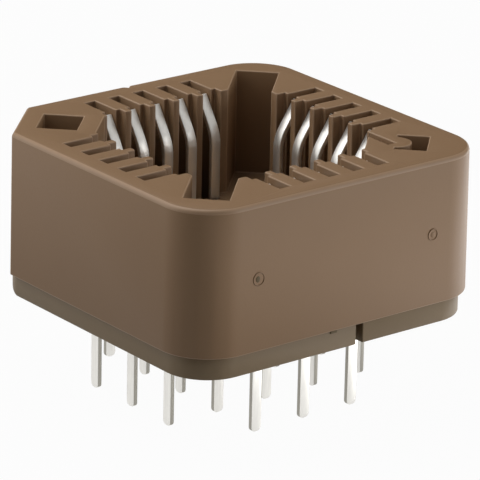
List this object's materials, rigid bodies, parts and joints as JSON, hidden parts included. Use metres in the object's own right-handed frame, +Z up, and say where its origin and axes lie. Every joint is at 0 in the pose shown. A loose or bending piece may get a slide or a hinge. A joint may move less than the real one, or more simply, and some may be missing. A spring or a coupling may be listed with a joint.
{
  "type": "chip carrier socket",
  "caption": "Square through-hole socket for a leaded chip carrier, with comb fins, sprung strip contacts and a base plate.",
  "frame": {"origin": "under the middle of the part, level with the tips of the tails", "axes": "+Z up, out of the well; the chamfered index corner points to -X -Y, and contact 1 is in the middle of the -X side"},
  "size_m": [0.0154, 0.0154, 0.0111],
  "materials": {
    "housing": "matte",
    "base": "matte",
    "contact": "satin tin plating"
  },
  "bodies": {
    "root": {"housing": "housing", "base": "base", "contact_01": "contact", "contact_02": "contact", "contact_03": "contact", "contact_04": "contact", "contact_05": "contact", "contact_06": "contact", "contact_07": "contact", "contact_08": "contact", "contact_09": "contact", "contact_10": "contact", "contact_11": "contact", "contact_12": "contact", "contact_13": "contact", "contact_14": "contact", "contact_15": "contact", "contact_16": "contact", "contact_17": "contact", "contact_18": "contact", "contact_19": "contact", "contact_20": "contact"}
  },
  "joints": []
}
